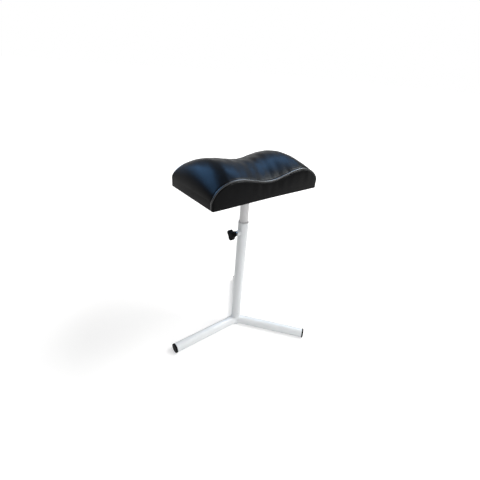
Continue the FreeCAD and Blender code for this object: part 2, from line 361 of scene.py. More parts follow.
def set_sockets(tree, node, values):
    """Sets a node's sockets by name or number; a value that is an output socket is linked instead."""
    for key, value in values.items():
        if isinstance(value, bpy.types.NodeSocket):
            tree.links.new(value, node.inputs[key])
        else:
            node.inputs[key].default_value = value


def add_node(tree, kind, values, **options):
    """A new node with its options and sockets set."""
    node = tree.nodes.new(kind)
    for name, value in options.items():
        setattr(node, name, value)
    set_sockets(tree, node, values)
    return node


def joined(tree, operation, first, second):
    """Two values joined by a maths operation."""
    return add_node(tree, "ShaderNodeMath", {0: first, 1: second}, operation=operation).outputs["Value"]


def remapped(tree, value, low, high, to_low, to_high):
    """A value carried from one range to another and held at its ends."""
    values = {"Value": value, "From Min": low, "From Max": high, "To Min": to_low, "To Max": to_high}
    return add_node(tree, "ShaderNodeMapRange", values).outputs["Result"]


# Numbers of the Mix node's two colours and of its mixed colour
MIX_FIRST = 6
MIX_SECOND = 7
MIXED = 2


class Finish:
    """A Principled material with short calls for the nodes that its finish needs."""

    def __init__(self, name, colour, roughness, metallic=0.0):
        self.material = bpy.data.materials.new(name)
        self.material.use_nodes = True
        self.material.diffuse_color = (*colour, 1.0)
        self.colour = tuple(colour)
        self.tree = self.material.node_tree
        self.set({"Base Color": (*colour, 1.0), "Roughness": roughness, "Metallic": metallic})
        self.place = self.add("ShaderNodeTexCoord", {}).outputs["Object"]
        self.normal = None

    def set(self, values):
        """Sets or links the shader's own sockets."""
        set_sockets(self.tree, self.tree.nodes["Principled BSDF"], values)

    def add(self, kind, values, **options):
        """A new node of this material."""
        return add_node(self.tree, kind, values, **options)

    def stretched(self, scale, turn=(0.0, 0.0, 0.0)):
        """Object coordinates scaled by axis, for drawn-out patterns."""
        values = {"Vector": self.place, "Scale": scale, "Rotation": turn}
        return self.add("ShaderNodeMapping", values).outputs["Vector"]

    def noise(self, scale, detail, roughness=0.55, vector=None):
        """Noise from 0 to 1, with so many features a metre."""
        values = {"Vector": vector or self.place, "Scale": scale, "Detail": detail, "Roughness": roughness}
        return self.add("ShaderNodeTexNoise", values).outputs["Fac"]

    def cells(self, scale, feature="F1", vector=None):
        """Distance pattern of cells, with so many cells a metre."""
        values = {"Vector": vector or self.place, "Scale": scale}
        return self.add("ShaderNodeTexVoronoi", values, feature=feature).outputs["Distance"]

    def waves(self, scale, direction, distortion=0.0):
        """Bands along one axis, closer together with a greater scale."""
        values = {"Vector": self.place, "Scale": scale, "Distortion": distortion}
        return self.add("ShaderNodeTexWave", values, bands_direction=direction).outputs["Fac"]

    def tint(self, pattern, low, high):
        """Base colour that runs from one colour to another with a pattern."""
        values = {"Factor": pattern, MIX_FIRST: (*low, 1.0), MIX_SECOND: (*high, 1.0)}
        self.set({"Base Color": self.add("ShaderNodeMix", values, data_type="RGBA").outputs[MIXED]})

    def mottle(self, pattern, darkest, lightest):
        """Base colour times a factor that runs from darkest to lightest with a pattern."""
        low, high = ([channel * factor for channel in self.colour] for factor in (darkest, lightest))
        self.tint(pattern, low, high)

    def rough(self, pattern, smoothest, dullest, bottom=0.3, top=0.7):
        """Roughness that runs from smoothest to dullest over the middle of a pattern."""
        self.set({"Roughness": remapped(self.tree, pattern, bottom, top, smoothest, dullest)})

    def bump(self, pattern, height, strength):
        """Adds a bump of the given height in metres over those that are already there."""
        values = {"Height": pattern, "Distance": height, "Strength": strength}
        if self.normal is not None:
            values["Normal"] = self.normal
        self.normal = self.add("ShaderNodeBump", values).outputs["Normal"]
        self.set({"Normal": self.normal})


# Finishes


def black_vinyl(name, colour, gloss):
    """Soft upholstery vinyl: pebbled grain, fine creases and a sheen that is worn smoother in patches."""
    finish = Finish(name, colour, roughness=0.3)
    finish.set({"Specular IOR Level": gloss})
    grain = finish.cells(900.0, feature="SMOOTH_F1")
    creases = finish.noise(160.0, detail=6.0, roughness=0.62)
    patches = finish.noise(14.0, detail=2.0)
    finish.mottle(patches, 0.8, 1.3)
    finish.rough(patches, 0.3, 0.42)
    finish.bump(grain, height=0.00012, strength=0.5)
    finish.bump(creases, height=0.0003, strength=0.25)
    return finish.material


def powder_coat(name, colour):
    """White powder coat: orange-peel skin and faint mottling."""
    finish = Finish(name, colour, roughness=0.32)
    finish.set({"Coat Weight": 0.25, "Coat Roughness": 0.18})
    peel = finish.noise(520.0, detail=2.0, roughness=0.5)
    clouds = finish.noise(28.0, detail=4.0)
    finish.mottle(clouds, 0.965, 1.02)
    finish.rough(clouds, 0.27, 0.38)
    finish.bump(peel, height=0.00016, strength=0.35)
    return finish.material


def plated_steel(name, colour):
    """Plated tube: drawn lines along it, and bands round it that are rubbed smoother."""
    finish = Finish(name, colour, roughness=0.4, metallic=0.25)
    drawn = finish.noise(90.0, detail=5.0, roughness=0.6, vector=finish.stretched((30.0, 30.0, 0.35)))
    rubbed = finish.noise(40.0, detail=2.0, roughness=0.5, vector=finish.stretched((0.4, 0.4, 1.5)))
    finish.mottle(drawn, 0.94, 1.05)
    finish.rough(rubbed, 0.38, 0.46, top=0.75)
    finish.bump(drawn, height=0.00002, strength=0.2)
    return finish.material


def zinc_plate(name):
    """Bright zinc on small steel parts: a fine crystalline mottle."""
    finish = Finish(name, (0.58, 0.59, 0.60), roughness=0.36, metallic=1.0)
    crystals = finish.cells(700.0)
    clouds = finish.noise(250.0, detail=4.0)
    finish.mottle(crystals, 0.78, 1.12)
    finish.rough(clouds, 0.28, 0.48)
    finish.bump(clouds, height=0.00005, strength=0.3)
    return finish.material


def moulded_plastic(name, colour, roughness, specular):
    """Moulded plastic: a fine texture from the mould, and patches that handling has polished or dulled."""
    finish = Finish(name, colour, roughness)
    finish.set({"Specular IOR Level": specular})
    texture = finish.noise(1400.0, detail=3.0, roughness=0.6)
    handling = finish.noise(90.0, detail=3.0)
    spread = 0.08
    finish.mottle(handling, 0.85, 1.25)
    finish.rough(handling, roughness - spread, roughness + spread)
    finish.bump(texture, height=0.00008, strength=0.45)
    return finish.material


def turned_brass(name):
    """Brass with turning marks round the clamp screw's axis."""
    finish = Finish(name, (0.72, 0.50, 0.20), roughness=0.3, metallic=1.0)
    marks = finish.waves(900.0, direction="X", distortion=0.6)
    finish.mottle(marks, 0.85, 1.1)
    finish.bump(marks, height=0.00003, strength=0.4)
    return finish.material


def birch_ply(name):
    """Plywood: plies in turn light and dark through the board, and a long grain on its faces."""
    finish = Finish(name, (0.62, 0.43, 0.24), roughness=0.6)
    plies = finish.waves(200.0, direction="Z")
    grain = finish.noise(60.0, detail=6.0, roughness=0.65, vector=finish.stretched((0.12, 1.0, 1.0)))
    finish.mottle(joined(finish.tree, "ADD", plies, grain), 0.5, 1.0)
    finish.bump(grain, height=0.0003, strength=0.4)
    return finish.material


def pale_foam(name):
    """Cut upholstery foam: open cells."""
    finish = Finish(name, (0.72, 0.66, 0.5), roughness=0.9)
    cells = finish.cells(900.0)
    finish.tint(cells, (0.5, 0.44, 0.3), (0.76, 0.7, 0.54))
    finish.bump(cells, height=0.0005, strength=0.8)
    return finish.material


def bonded_cloth(name, colour):
    """Spun-bonded dust cloth: rows of bonding points pressed into a web of fibres."""
    finish = Finish(name, colour, roughness=0.85)
    finish.set({"Sheen Weight": 0.25, "Sheen Roughness": 0.5})
    slanted = finish.stretched((1.0, 1.0, 0.01), turn=(0.0, 0.0, math.radians(30)))
    points = finish.cells(420.0, vector=slanted)
    fibres = finish.noise(500.0, detail=8.0, roughness=0.75, vector=finish.stretched((1.0, 0.35, 1.0)))
    finish.mottle(fibres, 0.55, 1.6)
    finish.bump(points, height=0.0003, strength=0.5)
    finish.bump(fibres, height=0.0001, strength=0.5)
    return finish.material


def shared(name, make, **values):
    """The finish of that name, made the first time that a piece asks for it."""
    return bpy.data.materials.get(name) or make(name, **values)


def stand_coat(s):
    """The coat that the stand, the plate and all weld beads share."""
    return shared("stand_coat", powder_coat, colour=s.powder_colour)


def black_moulding(s):
    """The plastic that the knob and the tube plugs share."""
    return shared("black_moulding", moulded_plastic, colour=s.plastic_colour, roughness=0.5, specular=0.03)


def bright_zinc():
    """The plating that all small steel parts share."""
    return shared("bright_zinc", zinc_plate)


def dress(material, *names):
    """Gives CAD nodes a material in place of the plain one."""
    for name in names:
        slots = nodes[name].data.materials
        slots.clear()
        slots.append(material)


# Weld beads


def bead_radii(path, radius, ripple):
    """A bead's radius along its path: even ripples from the torch, and slow uneven swells."""
    steps = np.linalg.norm(np.diff(path, axis=0), axis=1)
    along = np.concatenate([[0.0], np.cumsum(steps)])
    turns = 2 * np.pi * along / along[-1]
    count = max(3, round(along[-1] / ripple))
    ripple_height, lowered = 0.13, 0.08
    ripples = ripple_height * np.abs(np.sin(count * turns / 2))
    swells = 0.06 * np.sin(3 * turns + 0.7) + 0.05 * np.sin(7 * turns + 2.1)
    return radius * (1 + ripples + swells - lowered)


def ring_bead(path, across, radius, ripple, sides=10):
    """Points and faces of a bead along a closed path."""
    points = tube_points(path, bead_radii(path, radius, ripple), across, sides, closed=True)
    return points, grid_quads(len(path), sides, closed_rows=True, closed_columns=True)


def level_directions(angle):
    """The level directions at angles round the Z axis."""
    return np.stack([np.cos(angle), np.sin(angle), np.zeros_like(angle)], axis=-1)


def foot_bead(spread, radius, ripple):
    """The bead where legs and post meet, once round the post.

    Leg and post are cylinders of one radius, so at an angle from a leg's own direction their joint lies at
    the leg's axis height plus the radius times the cosine of that angle. A soft maximum over the three legs
    rounds the dips between them.
    """
    angle = round_angles(count=900)
    out = level_directions(angle)
    legs = np.pi + np.array([0.0, -spread, spread])
    softness = 0.02
    rise = softness * np.log(np.exp(np.cos(angle[:, None] - legs) / softness).sum(axis=1))
    path = post_radius * out
    path[:, 2] = leg_radius * (1 + np.minimum(rise, 1.0))
    return ring_bead(path, out + np.array([0.0, 0.0, 1.0]), radius, ripple, sides=12)


def mitre_beads(spread, radius, ripple):
    """Three upright beads where neighbouring legs meet beside the post.

    Two level cylinders meet in the plane half way between them: at a height over or under their axis the
    joint lies as far out as the cylinder's half width there, divided by the sine of the half angle.
    """
    halves = ((np.pi - spread / 2, spread / 2), (np.pi + spread / 2, spread / 2), (0.0, np.pi - spread))
    sides = 10
    rows = 48
    quads = np.array(grid_quads(rows, sides, closed_columns=True))
    ends = np.stack([np.arange(sides), np.arange(sides) + (rows - 1) * sides])
    blunt = 0.15
    taper = np.sqrt(np.sin(np.linspace(blunt, np.pi - blunt, rows)))
    points = []
    faces = []
    for direction, half_angle in halves:
        rise = leg_radius * math.cos(half_angle) * np.cos(np.linspace(0, np.pi, rows))
        reach = np.sqrt(leg_radius ** 2 - rise ** 2) / math.sin(half_angle)
        out = np.array([math.cos(direction), math.sin(direction), 0.0])
        path = reach[:, None] * out
        path[:, 2] = leg_radius + rise
        radii = taper * bead_radii(path, radius, ripple)
        first = len(points) * rows * sides
        points.append(tube_points(path, radii, np.tile(out, (rows, 1)), sides, closed=False))
        faces += (quads + first).tolist() + (ends + first).tolist()
    return np.concatenate(points), faces


def nut_bead(radius, ripple):
    """The bead round the clamp nut: a circle about the clamp's axis, laid on the post's round side."""
    ring = (nut_high.y - nut_low.y) / 2
    angle = round_angles(count=240)
    y = ring * np.cos(angle)
    path = np.stack([-np.sqrt(post_radius ** 2 - y ** 2), y, clamp_height + ring * np.sin(angle)], axis=-1)
    across = np.stack([-np.ones_like(angle), np.cos(angle), np.sin(angle)], axis=-1)
    return ring_bead(path, across, radius, ripple)


def plate_bead(radius, ripple):
    """The bead in the corner of inner tube and mounting plate: a circle just outside the tube."""
    out = level_directions(round_angles(count=300))
    offset = radius * 0.3
    path = (inner_radius + offset) * out
    path[:, 2] = plate_low.z - offset
    return ring_bead(path, out - np.array([0.0, 0.0, 1.0]), radius, ripple)


# Clamp screw


def threaded_rod(pitch, depth):
    """The clamp screw: a radius as a function of the place along it and of the angle round it.

    Between its ends the radius swings by the thread's depth with the place along the rod less the turn's
    share of a pitch. The rod starts with the socket for the pad's spigot and ends in a flat face.
    """
    start, end = -rod_high.x, -rod_low.x
    clearance = 0.00005
    chamfer = 0.0006
    socket_floor = spigot_end + clearance
    socket_radius = 0.00155
    root = rod_radius - depth
    rows_per_turn = 8
    body = np.arange(start + chamfer, end - chamfer, pitch / rows_per_turn)
    place = np.concatenate([[socket_floor] * 2, [start] * 2, body, [end] * 2])
    socket = [0.0, socket_radius, socket_radius, root]
    plain = np.concatenate([socket, np.full(len(body), root), [root, 0.0]])
    cut = np.concatenate([np.zeros(4), np.full(len(body), depth), np.zeros(2)])
    sides = 28
    angle = round_angles(sides)
    phase = place[:, None] / pitch - angle[None] / (2 * np.pi)
    radius = plain[:, None] + cut[:, None] * (0.5 + 0.5 * np.cos(2 * np.pi * phase))
    x = np.broadcast_to(-place[:, None], radius.shape)
    points = np.stack([x, radius * np.cos(angle), clamp_height + radius * np.sin(angle)], axis=-1)
    return points, grid_quads(len(place), sides, closed_columns=True)


# Cushion

# Numbers of a section's stretches: bottom, fold, side, edge and top, then edge, side and fold going back
SIDE = 2
EDGE = 3
STRETCHES = 8


def valley_share(x, s):
    """One in the middle of the valley, falling along a cosine to nothing at the humps' highest lines."""
    crest = half_length - s.crest_to_end
    return (1 + np.cos(np.pi * np.minimum(np.abs(x), crest) / crest)) / 2


def rise_over_board(x, s):
    """Height of the vinyl over the board on the middle line.

    Between the humps' highest lines a cosine valley; beyond them a slope down to the end like a quarter
    ellipse, whose exponent is the end bulge.
    """
    out = np.clip((np.abs(x) - half_length + s.crest_to_end) / s.crest_to_end, 0.0, 1.0)
    outside = 1 - (1 - out ** s.end_bulge) ** (1 / s.end_bulge)
    return crest_rise - s.valley_drop * valley_share(x, s) - s.end_drop * outside


def half_width_at(x, s):
    """Half the cushion's width in plan: corner arcs at the ends, and a cosine-squared waist."""
    past = np.maximum(0.0, np.abs(x) - (half_length - s.corner))
    corner = s.corner - np.sqrt(np.maximum(0.0, s.corner ** 2 - past ** 2))
    return half_width - corner - s.waist * np.cos(np.pi * x / (2 * half_length)) ** 2


def cushion_points(x, shares, s):
    """The saddle's skin: closed cross sections, one row for each x, inset from the finished form.

    A section runs along the bottom, round a fold, up the side, round the top edge, over the crowned top and
    back down. Edge arcs and crown arc share a tangent, and rounding and crown fade with the height. shares
    holds, for each kind of stretch, how far along it the points lie.
    """
    x = x[:, None]
    rise = rise_over_board(x, s)
    fade = rise / crest_rise
    half = half_width_at(x, s)
    radius = s.edge_round * fade
    bow = s.crown * fade + s.valley_crown * valley_share(x, s)
    shoulder = board_top + rise - s.start_inset - radius - bow
    reach = half - s.start_inset - radius
    lean = 2 * np.arctan(bow / reach)
    fold = s.fold_round
    past = np.clip(np.abs(x) - (half_length - fold), 0.0, fold)
    base = hem_bottom + fold - np.sqrt(fold ** 2 - past ** 2)

    bottom, fold_turn, side, edge, top = (np.asarray(part)[None] for part in shares)
    under_y = (half - fold) * (2 * bottom - 1)
    inward = np.minimum(half - np.abs(under_y), half_length - np.abs(x)) - s.hem_width
    under_z = base + (board_low.z - hem_bottom + fold / 4) * eased(inward / fold)
    turn = np.pi / 2 * fold_turn
    fold_y = half - fold + fold * np.sin(turn)
    fold_z = base + fold - fold * np.cos(turn)
    side_y = half - s.start_inset * side
    side_z = base + fold + (shoulder - base - fold) * side
    arc = (np.pi / 2 - lean) * edge
    edge_y = reach + radius * np.cos(arc)
    edge_z = shoulder + radius * np.sin(arc)
    centre_drop = reach / np.sin(lean)
    tilt = lean * (1 - 2 * top)
    top_y = (radius + centre_drop) * np.sin(tilt)
    top_z = shoulder - centre_drop * np.cos(lean) + (radius + centre_drop) * np.cos(tilt)

    ahead_y = np.concatenate([fold_y, side_y, edge_y], axis=1)
    ahead_z = np.concatenate([fold_z, side_z, edge_z], axis=1)
    back_y = -np.concatenate([ahead_y[:, 1:], top_y[:, :1]], axis=1)[:, ::-1]
    back_z = np.concatenate([ahead_z[:, 1:], top_z[:, :1]], axis=1)[:, ::-1]
    y = np.concatenate([under_y, ahead_y, top_y, back_y], axis=1)
    z = np.concatenate([under_z, ahead_z, top_z, back_z], axis=1)
    return np.stack([np.broadcast_to(x, y.shape), y, z], axis=-1)


def section_shares(bottom, fold, side, edge, top):
    """Evenly spread shares for the five kinds of stretch, each open at its far end."""
    return [np.linspace(0, 1, count, endpoint=False) for count in (bottom, fold, side, edge, top)]


def column_numbers(shares):
    """For each point of a section, its stretch's number plus its share, round the whole section."""
    forward = [k + part for k, part in enumerate(shares)]
    mirrored = enumerate(shares[1:EDGE + 1], start=1)
    back = [STRETCHES + 1 - (k + np.append(part[1:], 1.0))[::-1] for k, part in mirrored]
    return np.concatenate([*forward, *back[::-1]])


def seam_share(s):
    """How far along the rounded top edge the seam lies."""
    return s.seam_angle / (np.pi / 2 - 2 * math.atan(s.crown / (half_width - s.edge_round)))


def cushion_form(rows, shares, seam, s):
    """The cushion before it swells: its points, its columns' numbers and the two seams' columns.

    Rows follow a sine along the cushion, closer together towards its ends.
    """
    x = half_length * np.sin(np.pi / 2 * np.linspace(-1, 1, rows))
    number = column_numbers(shares)
    seams = (EDGE + seam, STRETCHES + 1 - EDGE - seam)
    columns = [int(np.argmin(np.abs(number - at))) for at in seams]
    return cushion_points(x, shares, s), number, columns


def coarse_form(s):
    """The form for the cloth pass, with one column moved onto each seam."""
    seam = seam_share(s)
    shares = section_shares(bottom=30, fold=3, side=9, edge=9, top=36)
    shares[EDGE][np.argmin(np.abs(shares[EDGE] - seam))] = seam
    return cushion_form(rows=75, shares=shares, seam=seam, s=s)


def fine_form(s):
    """The form for the finished vinyl, with columns closer together beside the seams."""
    seam = seam_share(s)
    shares = section_shares(bottom=24, fold=5, side=18, edge=30, top=64)
    reach, clear_of, count = 0.15, 0.16, 15
    beside = seam + np.linspace(-reach, reach, count)
    clear = np.abs(shares[EDGE] - seam) > clear_of
    shares[EDGE] = np.unique(np.concatenate([shares[EDGE][clear], beside]))
    return cushion_form(rows=281, shares=shares, seam=seam, s=s)


def catmull(share):
    """The four Catmull-Rom weights at a share of the way from one sample to the next."""
    f = share
    return (
        -0.5 * f + f ** 2 - 0.5 * f ** 3,
        1 - 2.5 * f ** 2 + 1.5 * f ** 3,
        0.5 * f + 2 * f ** 2 - 1.5 * f ** 3,
        -0.5 * f ** 2 + 0.5 * f ** 3,
    )


def resampled(field, row_at, column_at):
    """A grid of vectors read between its samples; rows stop at the ends and columns go round."""
    rows, columns = field.shape[:2]
    column = np.floor(column_at).astype(int)
    weights = catmull(column_at - column)
    field = sum(w[None, :, None] * field[:, (column + k - 1) % columns] for k, w in enumerate(weights))
    row = np.minimum(np.floor(row_at).astype(int), rows - 2)
    weights = catmull(row_at - row)
    picked = (np.clip(row + k - 1, 0, rows - 1) for k in range(4))
    return sum(w[:, None, None] * field[r] for w, r in zip(weights, picked))


def swollen(points, pins, s):
    """How far each point moves when Blender's cloth blows the vinyl against its pins, capped softly."""
    mesh = outward_mesh("vinyl_blank", points, closed_ends(points), merged=False)
    blank = add_object("vinyl_blank", mesh)
    group = blank.vertex_groups.new(name="pins")
    group.add(np.flatnonzero(pins.ravel()).tolist(), 1.0, "REPLACE")
    cloth = blank.modifiers.new("swell", "CLOTH")
    values = {
        "quality": 8,
        "mass": 0.25,
        "tension_stiffness": 25,
        "compression_stiffness": 25,
        "shear_stiffness": 10,
        "bending_stiffness": 4,
        "use_pressure": True,
        "uniform_pressure_force": s.pressure,
        "vertex_group_mass": group.name,
    }
    for name, value in values.items():
        setattr(cloth.settings, name, value)
    cloth.settings.effector_weights.gravity = 0
    frames = 20
    cloth.point_cache.frame_start = 1
    cloth.point_cache.frame_end = frames
    scene = bpy.context.scene
    for number in range(1, frames + 1):
        scene.frame_set(number)
    seen = blank.evaluated_get(bpy.context.evaluated_depsgraph_get()).to_mesh()
    moved = np.empty(points.size)
    seen.vertices.foreach_get("co", moved)
    move = moved.reshape(points.shape) - points
    scene.frame_set(1)
    bpy.data.objects.remove(blank)
    bpy.data.meshes.remove(mesh)
    size = np.linalg.norm(move, axis=-1, keepdims=True)
    return unit(move) * s.swell_limit * np.tanh(size / s.swell_limit)


def surface_normals(points):
    """Outward normals of a grid whose columns go round, from the differences along its two directions."""
    along = np.gradient(points, axis=0)
    around = np.roll(points, -1, axis=1) - np.roll(points, 1, axis=1)
    return unit(np.cross(around, along))


def soft_folds(points, s):
    """Low folds of the slack vinyl, mostly across it: four sines with seeded pitches, headings and phases.

    They fade out towards the hem and the ends, and are half as high on the humps as in the valley.
    """
    x, y, z = np.moveaxis(points, -1, 0)
    pitches, headings, phases = np.random.default_rng(FOLD_SEED).uniform(size=(3, 4, 1, 1))
    pitch = s.fold_pitch * (0.7 + 0.8 * pitches)
    heading = math.radians(40) * (2 * headings - 1)
    along = x * np.cos(heading) + y * np.sin(heading)
    waves = np.sin(2 * np.pi * (along / pitch + phases)).sum(axis=0) / 2
    fading = 0.035
    from_hem = np.clip((z - hem_bottom) / fading, 0.0, 1.0)
    from_end = np.clip((half_length - np.abs(x)) / fading, 0.0, 1.0)
    return s.fold_height * waves * from_hem ** 2 * from_end ** 2 * (0.5 + 0.5 * valley_share(x, s))


def pucker_waves(x, pitch):
    """Uneven waves along x: the mean of three sines near the pitch with seeded phases."""
    phases = np.random.default_rng(PUCKER_SEED).uniform(0, 2 * np.pi, 3)
    pitches = pitch * np.array([1.0, 0.73, 1.41])
    return np.sin(2 * np.pi * x[:, None] / pitches + phases).mean(axis=1)


def sewn_cushion(s):
    """The finished vinyl: the form swelled by cloth simulation, folded, then drawn in at its two seams.

    The move that the simulation gives on a coarse grid is read onto a fine one. At a seam the vinyl sinks
    by the seam depth times a bell curve of the distance, and waves beside it die out with the distance.
    """
    blank, number, seams = coarse_form(s)
    pins = np.zeros(blank.shape[:2], dtype=bool)
    pins[:, (number < SIDE) | (number > STRETCHES - 1)] = True
    pins[:, seams] = True
    pins[[0, -1]] = True
    move = swollen(blank, pins, s)

    points, fine_number, seams = fine_form(s)
    columns = np.interp(fine_number, np.append(number, STRETCHES), np.arange(len(number) + 1.0))
    rows = np.linspace(0, len(blank) - 1, len(points))
    points = points + resampled(move, rows, columns)
    points = points + surface_normals(points) * soft_folds(points, s)[..., None]
    normal = surface_normals(points)
    waves = pucker_waves(points[:, 0, 0], s.pucker_pitch)
    for column in seams:
        apart = np.linalg.norm(points - points[:, column][:, None], axis=-1)
        sink = s.seam_depth * np.exp(-(apart / s.seam_reach) ** 2)
        stand = s.pucker_height * np.exp(-apart / (3 * s.seam_reach)) * np.tanh(apart / s.seam_reach)
        points = points + normal * (stand * waves[:, None] - sink)[..., None]
    return points


def piping_path(points, column, s):
    """The line of a seam, sunk by its depth and taken on down both end corners to the hem."""
    seam = points[:, column] - s.seam_depth * surface_normals(points)[:, column]
    corner_steps = 8
    drop = np.linspace(0, 1, corner_steps + 1)[1:, None]
    ends = []
    for tip in (seam[0], seam[-1]):
        foot = np.array([tip[0], tip[1], hem_bottom + s.piping_diameter / 2])
        ends.append(tip + (foot - tip) * drop)
    return np.concatenate([ends[0][::-1], seam, ends[1]])


def slack_share(apart, reach):
    """How loose the dust cloth is at a distance from what holds it: nothing there, and one far from it."""
    return 1 - np.exp(-np.maximum(apart, 0.0) / reach)


def dust_cloth_points(s):
    """The dust cloth as a height over a plan grid.

    Its border lies under the hem. Inside the hem it rises to the board, where the plate holds it, and
    between plate and hem it hangs a little and wrinkles in four seeded sines.
    """
    rows, columns = 151, 81
    x = np.linspace(dust_low.x, dust_high.x, rows)[:, None]
    y = np.linspace(dust_low.y, dust_high.y, columns)[None]
    border = s.hem_width - (half_length - dust_high.x)
    from_hem = np.minimum(dust_high.x - np.abs(x), dust_high.y - np.abs(y)) - border
    from_plate = np.maximum(np.abs(x), np.abs(y)) - plate_high.x
    loose = slack_share(from_plate, reach=0.018) * slack_share(from_hem, reach=0.01)
    phases = np.random.default_rng(CREASE_SEED).uniform(0, 2 * np.pi, 4)
    along = np.array([170.0, 95.0, 260.0, -40.0])
    across = np.array([60.0, -140.0, 190.0, 230.0])
    creases = np.sin(x[..., None] * along + y[..., None] * across + phases).mean(axis=-1)
    border_z = (dust_low.z + hem_bottom) / 2
    board_z = board_low.z - (hem_bottom - dust_low.z) / 2
    step = 0.004
    z = border_z + (board_z - border_z) * eased(from_hem / step)
    z = z - s.cloth_slack * loose * (1 + 0.5 * creases)
    return np.stack(np.broadcast_arrays(x, y, z), axis=-1)


# Operators


class LEGREST_OT_stand_tubes(bpy.types.Operator):
    """Coats the post, the three legs and the clamp nut"""

    bl_idname = "leg_rest.stand_tubes"
    bl_label = "Stand tubes"

    def execute(self, context):
        coat = stand_coat(context.scene.leg_rest.stand)
        dress(coat, "post_tube", "front_leg_tube", "left_leg_tube", "right_leg_tube", "clamp_nut")
        return {"FINISHED"}


class LEGREST_OT_tube_plugs(bpy.types.Operator):
    """Finishes the plugs in the ends of the legs, the post and the inner tube"""

    bl_idname = "leg_rest.tube_plugs"
    bl_label = "Tube plugs"

    def execute(self, context):
        plastic = black_moulding(context.scene.leg_rest.stand)
        dress(plastic, "front_leg_plug", "left_leg_plug", "right_leg_plug", "post_bottom_plug")
        dress(plastic, "inner_tube_plug")
        return {"FINISHED"}


class LEGREST_OT_guide_rings(bpy.types.Operator):
    """Finishes the guide bush in the post's mouth and the glide ring on the inner tube"""

    bl_idname = "leg_rest.guide_rings"
    bl_label = "Guide rings"

    def execute(self, context):
        colour = context.scene.leg_rest.stand.guide_colour
        grey = shared("grey_moulding", moulded_plastic, colour=colour, roughness=0.5, specular=0.08)
        dress(grey, "guide_bush", "lower_glide")
        return {"FINISHED"}


class LEGREST_OT_weld_beads(bpy.types.Operator):
    """Lays the weld beads at the post's foot, between the legs, round the clamp nut and under the plate"""

    bl_idname = "leg_rest.weld_beads"
    bl_label = "Weld beads"

    def execute(self, context):
        s = context.scene.leg_rest.stand
        coat = stand_coat(s)
        nut_share, plate_share = 0.75, 1.5
        beads = {
            "foot_bead": foot_bead(s.leg_spread, s.bead_radius, s.bead_ripple),
            "mitre_beads": mitre_beads(s.leg_spread, s.bead_radius, s.bead_ripple),
            "nut_bead": nut_bead(s.bead_radius * nut_share, s.bead_ripple),
        }
        for name, (points, faces) in beads.items():
            add_piece(name, points, faces, "base", coat)
        points, faces = plate_bead(s.bead_radius * plate_share, s.bead_ripple)
        bead = add_piece("plate_bead", points, faces, "column", coat)
        dress(coat, "plate_weld")
        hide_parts("plate_weld")
        return {"FINISHED"}


class LEGREST_OT_column(bpy.types.Operator):
    """Finishes the inner tube and the mounting plate on its upper end"""

    bl_idname = "leg_rest.column"
    bl_label = "Column"

    def execute(self, context):
        s = context.scene.leg_rest.stand
        dress(shared("tube_plating", plated_steel, colour=s.plating_colour), "inner_tube")
        dress(stand_coat(s), "mount_plate")
        return {"FINISHED"}


class LEGREST_OT_fasteners(bpy.types.Operator):
    """Finishes the plate's screws, washers and tee nuts, and the staples"""

    bl_idname = "leg_rest.fasteners"
    bl_label = "Fasteners"

    def execute(self, context):
        dress(bright_zinc(), "plate_screws", "plate_washers", "tee_nuts", "staples")
        return {"FINISHED"}


class LEGREST_OT_clamp(bpy.types.Operator):
    """Cuts the clamp screw's thread and finishes the knob and the pad"""

    bl_idname = "leg_rest.clamp"
    bl_label = "Clamp"

    def execute(self, context):
        s = context.scene.leg_rest.stand
        dress(black_moulding(s), "knob_body")
        dress(shared("turned_brass", turned_brass), "clamp_pad")
        dress(bright_zinc(), "clamp_screw")
        points, faces = threaded_rod(s.thread_pitch, s.thread_depth)
        rod = add_piece("threaded_rod", points, faces, "clamp_knob", bright_zinc())
        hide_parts("clamp_screw")
        return {"FINISHED"}


class LEGREST_OT_cushion_core(bpy.types.Operator):
    """Finishes the board and the foam inside the cushion"""

    bl_idname = "leg_rest.cushion_core"
    bl_label = "Cushion core"

    def execute(self, context):
        dress(shared("birch_ply", birch_ply), "seat_board")
        dress(shared("cut_foam", pale_foam), "foam_core")
        return {"FINISHED"}


class LEGREST_OT_cushion(bpy.types.Operator):
    """Upholsters the cushion in vinyl, swelled by the foam and drawn in at two seams"""

    bl_idname = "leg_rest.cushion"
    bl_label = "Cushion"

    def execute(self, context):
        s = context.scene.leg_rest.cushion
        vinyl = shared("cushion_vinyl", black_vinyl, colour=s.vinyl_colour, gloss=s.vinyl_gloss)
        dress(vinyl, "vinyl_cover")
        points = sewn_cushion(s)
        cushion = add_piece("cushion", points, closed_ends(points), "column", vinyl)
        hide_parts("vinyl_cover", "foam_core")
        return {"FINISHED"}


class LEGREST_OT_piping(bpy.types.Operator):
    """Sews a covered cord into each of the cushion's two seams"""

    bl_idname = "leg_rest.piping"
    bl_label = "Piping"

    def execute(self, context):
        s = context.scene.leg_rest.cushion
        cord = shared("piping_vinyl", black_vinyl, colour=s.vinyl_colour, gloss=s.piping_gloss)
        points, _, seams = fine_form(s)
        never_along = [0.3, 0.2, 1.0]
        for name, column in zip(("left_piping", "right_piping"), seams):
            path = piping_path(points, column, s)
            across = np.tile(never_along, (len(path), 1))
            tube = tube_points(path, s.piping_diameter / 2, across, sides=12, closed=False)
            add_piece(name, tube, closed_ends(tube), "column", cord)
        return {"FINISHED"}


